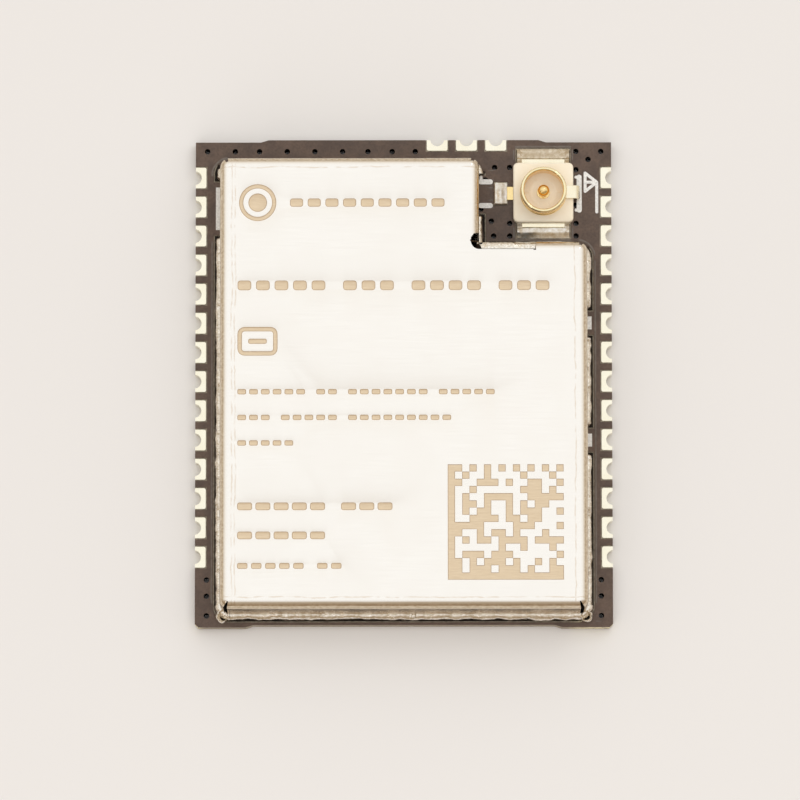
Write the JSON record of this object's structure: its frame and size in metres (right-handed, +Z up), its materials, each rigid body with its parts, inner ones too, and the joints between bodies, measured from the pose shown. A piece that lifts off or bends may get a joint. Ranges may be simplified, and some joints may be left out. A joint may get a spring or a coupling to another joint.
{
  "type": "wifi module",
  "caption": "Castellated radio board for surface mounting, with a folded metal shield can over its circuits and a small coax receptacle for an outside aerial.",
  "frame": {"origin": "centre of the board's footprint, on the face of its underside mask", "axes": "+X to the right across the two long pad rows, +Y towards the edge with the coax receptacle, +Z up through the shield can"},
  "size_m": [0.018, 0.0212, 0.0032],
  "materials": {
    "laminate": "glass-epoxy board, routed edge",
    "solder_mask": "dark brown-black satin solder mask",
    "pad_gold": "immersion gold over nickel and copper",
    "copper": "plated copper",
    "ink": "printed white ink",
    "can_metal": "bright nickel silver sheet, faintly brushed",
    "solder": "reflowed tin-silver solder",
    "insulator": "ivory liquid-crystal polymer",
    "contact_gold": "gold-plated phosphor bronze",
    "package": "black moulded epoxy",
    "tin": "tin plating",
    "crystal_ceramic": "grey ceramic base",
    "capacitor_ceramic": "brown fired ceramic",
    "resistor_glaze": "black glaze on white ceramic",
    "ferrite": "grey ferrite"
  },
  "bodies": {
    "root": {"board_laminate": "laminate", "mask_top": "solder_mask", "mask_underside": "solder_mask", "edge_pads_left": "pad_gold", "edge_pads_right": "pad_gold", "edge_pads_rear": "pad_gold", "via_barrels": "copper", "thermal_pads": "pad_gold", "ground_track": "pad_gold", "receptacle_pads": "pad_gold", "rf_trace": "copper", "printed_marks": "ink", "shield_can": "can_metal", "can_solder": "solder", "coax_insulator": "insulator", "coax_ground_contact": "contact_gold", "coax_signal_contact": "contact_gold", "ground_tab_solder": "solder", "signal_lead_solder": "solder", "part_lands": "pad_gold", "part_solder": "solder", "system_chip": "package", "system_chip_leads": "tin", "flash_memory": "package", "flash_leads": "tin", "crystal_base": "crystal_ceramic", "crystal_lid": "tin", "capacitors": "capacitor_ceramic", "capacitor_ends": "tin", "resistors": "resistor_glaze", "resistor_ends": "tin", "inductors": "ferrite", "inductor_ends": "tin"}
  },
  "joints": []
}
